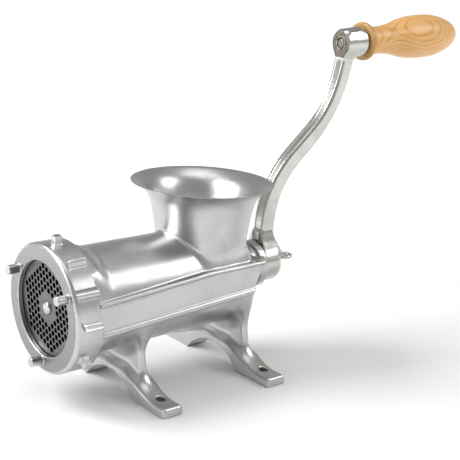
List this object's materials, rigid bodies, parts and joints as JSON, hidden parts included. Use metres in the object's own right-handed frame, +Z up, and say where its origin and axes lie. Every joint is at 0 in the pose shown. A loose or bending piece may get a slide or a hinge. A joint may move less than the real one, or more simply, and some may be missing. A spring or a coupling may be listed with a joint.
{
  "type": "hand crank meat grinder",
  "caption": "Bolt-down hand grinder: tinned casting with flared hopper, screw-on ring, plate, knife and feed worm, and an S-shaped crank with a turned wooden grip.",
  "frame": {"origin": "on the bench surface, midway between the feet and midway along the overall length", "axes": "+X to the right side seen from the cutting end looking at the crank, +Y along the barrel from the cutting end to the crank, +Z up"},
  "size_m": [0.178, 0.5286, 0.3351],
  "materials": {
    "tinned_casting": "hot-dip tinned cast iron, bright silver with a fine cast skin",
    "tinned_crank": "tinned cast iron, slightly warmer and duller than the body",
    "plate_steel": "ground tool steel, darkened",
    "turned_steel": "turned bright steel",
    "spindle_steel": "dull dark steel",
    "bush_bronze": "plain bronze",
    "washer_fibre": "dark pressed fibre",
    "turned_wood": "turned honey-coloured hardwood with a thin clear varnish"
  },
  "bodies": {
    "root": {"body_casting": "tinned_casting", "rear_bush": "bush_bronze", "thrust_washer": "washer_fibre", "plate_key": "turned_steel"},
    "plate": {"cutting_plate": "plate_steel"},
    "ring": {"retaining_ring": "tinned_casting"},
    "crank": {"knife": "turned_steel", "worm_stud": "turned_steel", "feed_worm": "tinned_casting", "crank_washer": "washer_fibre", "crank_arm": "tinned_crank", "handle_spindle": "spindle_steel", "grip_washer": "spindle_steel", "grip_end_washer": "spindle_steel"},
    "thumb_washer": {"thumb_screw_washer": "turned_steel"},
    "thumb_screw": {"thumb_screw": "turned_steel"},
    "grip": {"handle_grip": "turned_wood"}
  },
  "joints": [
    {"name": "crank_turn", "type": "hinge", "parent": "root", "child": "crank", "pos_m": [0, 0, 0.095], "axis": [0, 1, 0], "continuous": true},
    {"name": "grip_spin", "type": "hinge", "parent": "crank", "child": "grip", "pos_m": [0, 0.19775, 0.312], "axis": [0, 1, 0], "continuous": true},
    {"name": "plate_travel", "type": "slide", "parent": "root", "child": "plate", "axis": [0, -1, 0], "range_m": [0, 0.01251]},
    {"name": "ring_turn", "type": "hinge", "parent": "plate", "child": "ring", "pos_m": [0, -0.25225, 0.095], "axis": [0, -1, 0], "range_deg": [0, 900]},
    {"name": "thumb_washer_travel", "type": "slide", "parent": "crank", "child": "thumb_washer", "axis": [0, 1, 0], "range_m": [0, 0.0075]},
    {"name": "thumb_screw_turn", "type": "hinge", "parent": "thumb_washer", "child": "thumb_screw", "pos_m": [0, 0.02775, 0.095], "axis": [0, 1, 0], "range_deg": [0, 1801]}
  ],
  "couplings": [
    {"joint": "plate_travel", "follows": "ring_turn", "m_per_rad": 0.00079577},
    {"joint": "thumb_screw_turn", "follows": "thumb_washer_travel", "rad_per_m": 4188.8}
  ]
}
